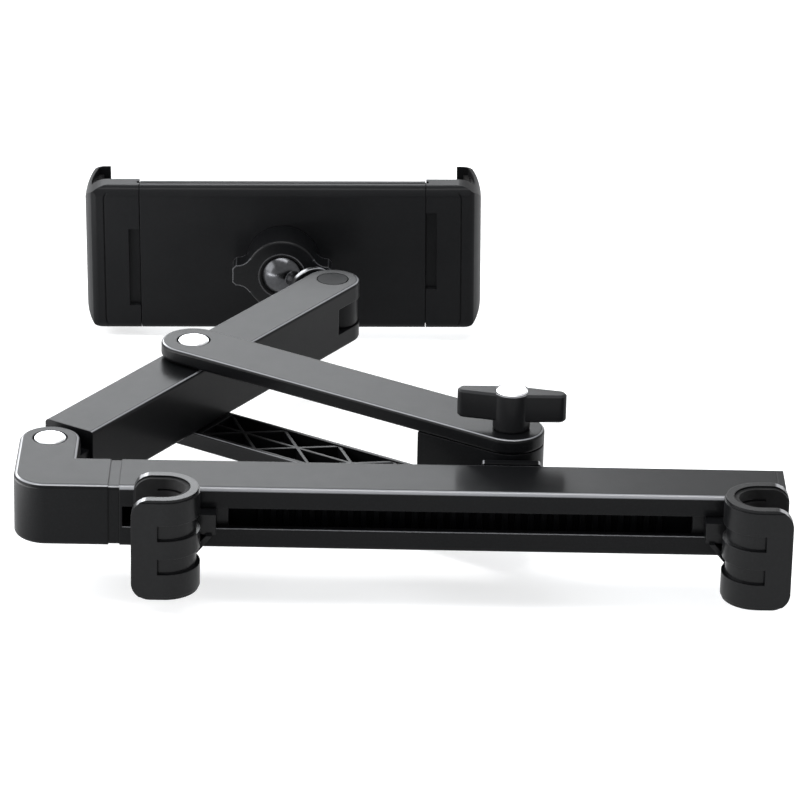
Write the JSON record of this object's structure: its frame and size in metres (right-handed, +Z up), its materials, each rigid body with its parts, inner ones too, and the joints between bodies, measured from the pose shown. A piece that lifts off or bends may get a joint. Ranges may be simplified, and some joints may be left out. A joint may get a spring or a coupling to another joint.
{
  "type": "headrest tablet mount",
  "caption": "Black folding car headrest tablet mount: slotted rail with post hooks, arm and strut, ball joint and sprung tablet holder.",
  "frame": {"origin": "midway between the two post seats, on their axes, at the rail's mid-height", "axes": "+X along the rail towards its end cap, +Y from the posts to the passenger, +Z up"},
  "size_m": [0.2092, 0.2304, 0.0497],
  "materials": {
    "black_plastic": "satin",
    "rubber": "matte",
    "bearing_plastic": "satin",
    "brushed_cap": "brushed",
    "screw_steel": "satin",
    "spring_steel": "satin",
    "ball_metal": "polished"
  },
  "bodies": {
    "rail": {"rail_beam": "black_plastic", "corner_block": "black_plastic", "rail_end_cap": "black_plastic", "detent_strip": "bearing_plastic", "corner_screws": "screw_steel", "base_pivot_pin": "screw_steel", "base_pivot_cap": "brushed_cap", "base_washers": "bearing_plastic"},
    "left_hook_set": {"left_hook": "black_plastic", "left_hook_liner": "rubber", "left_carriage": "black_plastic", "left_detent_spring": "spring_steel", "left_hook_screws": "screw_steel"},
    "right_hook_set": {"right_hook": "black_plastic", "right_hook_liner": "rubber", "right_carriage": "black_plastic", "right_detent_spring": "spring_steel", "right_hook_screws": "screw_steel"},
    "arm": {"arm_beam": "black_plastic", "arm_bottom_cover": "black_plastic", "arm_cover_screws": "screw_steel", "mid_pivot_bush": "screw_steel", "tip_pivot_pin": "screw_steel", "tip_pivot_cap": "black_plastic"},
    "strut": {"strut_top_plate": "black_plastic", "strut_tray": "black_plastic", "strut_end_block": "black_plastic", "strut_screws": "screw_steel", "mid_pivot_pin": "screw_steel", "mid_pivot_cap": "brushed_cap", "clamp_nut": "screw_steel"},
    "slider": {"slider_shoe": "black_plastic"},
    "knob": {"wing_knob": "black_plastic", "knob_cap": "brushed_cap", "clamp_bolt": "screw_steel"},
    "ball_link": {"tip_knuckle": "black_plastic", "ball_stud": "ball_metal"},
    "front_seat": {"ball_seat_ring": "bearing_plastic"},
    "rear_seat": {"ball_seat_cup": "bearing_plastic"},
    "nut": {"ball_nut": "black_plastic"},
    "holder": {"holder_back_shell": "black_plastic", "holder_front_cover": "black_plastic", "holder_front_pad": "rubber", "holder_screws": "screw_steel", "pinion_spring": "spring_steel"},
    "pinion_wheel": {"pinion": "bearing_plastic"},
    "left_jaw_set": {"left_jaw": "black_plastic", "left_jaw_pad": "rubber"},
    "right_jaw_set": {"right_jaw": "black_plastic", "right_jaw_pad": "rubber"}
  },
  "joints": [
    {"name": "arm_fold", "type": "hinge", "parent": "rail", "child": "arm", "pos_m": [-0.1128, 0.04345, 0], "axis": [0, 0, 1], "range_deg": [-53, 0]},
    {"name": "strut_pivot", "type": "hinge", "parent": "arm", "child": "strut", "pos_m": [-0.07553, 0.10128, 0], "axis": [0, 0, 1], "range_deg": [0, 85]},
    {"name": "slider_pivot", "type": "hinge", "parent": "strut", "child": "slider", "pos_m": [0.0139, 0.04345, 0], "axis": [0, 0, 1], "range_deg": [-31, 0]},
    {"name": "knob_turn", "type": "hinge", "parent": "strut", "child": "knob", "pos_m": [0.0139, 0.04345, 0], "axis": [0, 0, 1], "continuous": true},
    {"name": "left_hook_slide", "type": "slide", "parent": "rail", "child": "left_hook_set", "axis": [1, 0, 0], "range_m": [0, 0.02]},
    {"name": "right_hook_slide", "type": "slide", "parent": "rail", "child": "right_hook_set", "axis": [-1, 0, 0], "range_m": [0, 0.02]},
    {"name": "tip_swivel", "type": "hinge", "parent": "arm", "child": "ball_link", "pos_m": [-0.03647, 0.16189, 0.00023], "axis": [0, 0, -1], "range_deg": [-35, 130]},
    {"name": "ball_yaw", "type": "hinge", "parent": "ball_link", "child": "front_seat", "pos_m": [-0.05198, 0.19022, 0.00023], "axis": [0, 0, 1], "range_deg": [-6, 63]},
    {"name": "ball_tilt", "type": "hinge", "parent": "front_seat", "child": "rear_seat", "pos_m": [-0.05198, 0.19022, 0.00023], "axis": [1, 0, 0], "range_deg": [-20, 20]},
    {"name": "ball_spin", "type": "hinge", "parent": "rear_seat", "child": "holder", "pos_m": [-0.05198, 0.19022, 0.00023], "axis": [0, 1, 0], "continuous": true},
    {"name": "nut_turn", "type": "hinge", "parent": "holder", "child": "nut", "pos_m": [-0.05198, 0.19022, 0.00023], "axis": [0, 1, 0], "continuous": true},
    {"name": "left_jaw_slide", "type": "slide", "parent": "holder", "child": "left_jaw_set", "axis": [-0.9998, 0, -0.0175], "range_m": [0, 0.03]},
    {"name": "right_jaw_slide", "type": "slide", "parent": "holder", "child": "right_jaw_set", "axis": [0.9998, 0, 0.0175], "range_m": [0, 0.03]},
    {"name": "pinion_turn", "type": "hinge", "parent": "holder", "child": "pinion_wheel", "pos_m": [-0.05198, 0.19022, 0.00023], "axis": [0, 1, 0], "range_deg": [-350, 0]}
  ],
  "couplings": [
    {"joint": "strut_pivot", "follows": "arm_fold", "ratio": -1.5694},
    {"joint": "slider_pivot", "follows": "arm_fold", "ratio": 0.56938},
    {"joint": "right_jaw_slide", "follows": "left_jaw_slide", "ratio": 1},
    {"joint": "pinion_turn", "follows": "left_jaw_slide", "rad_per_m": -200}
  ]
}
